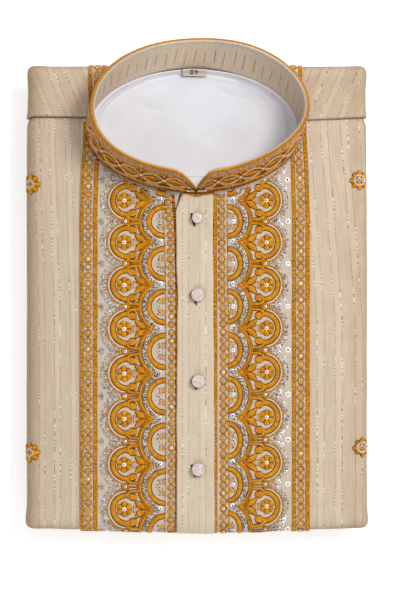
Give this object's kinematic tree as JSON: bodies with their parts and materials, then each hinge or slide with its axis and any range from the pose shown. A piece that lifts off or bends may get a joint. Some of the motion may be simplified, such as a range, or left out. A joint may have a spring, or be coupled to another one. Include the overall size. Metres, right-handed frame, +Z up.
{
  "type": "folded kurta",
  "caption": "Men's long tunic folded flat with its stand collar up, embroidered front panels and a button placket.",
  "frame": {"origin": "middle of the part's box, on the surface that the folded kurta lies on", "axes": "+X to the right of someone looking down at the front, +Y from the hem's fold to the collar, +Z up"},
  "size_m": [0.2536, 0.365, 0.0609],
  "materials": {
    "kurta_cloth": "beige woven silk-look cloth with fine gold stripes, soft sheen",
    "collar_facing": "the same beige cloth, with short gold dashes",
    "lining": "plain white cotton, matt",
    "label": "cream woven tape",
    "embroidery": "burnt-orange and brown corded thread with silver thread, sequins and beads on beige cloth",
    "button": "mottled pinkish-white stone-look resin, polished, with a tan rim"
  },
  "bodies": {
    "root": {"folded_layers": "kurta_cloth", "front_left": "kurta_cloth", "front_right": "kurta_cloth", "back": "kurta_cloth", "lining": "lining", "size_label": "label", "collar_outer": "embroidery", "collar_facing": "collar_facing", "placket": "kurta_cloth", "button_1": "button", "button_2": "button", "button_3": "button", "button_4": "button", "embroidery_left": "embroidery", "embroidery_right": "embroidery", "shoulder_border_left": "embroidery", "shoulder_border_right": "embroidery", "motif_left_upper": "embroidery", "motif_left_lower": "embroidery", "motif_right_upper": "embroidery", "motif_right_lower": "embroidery"}
  },
  "joints": []
}
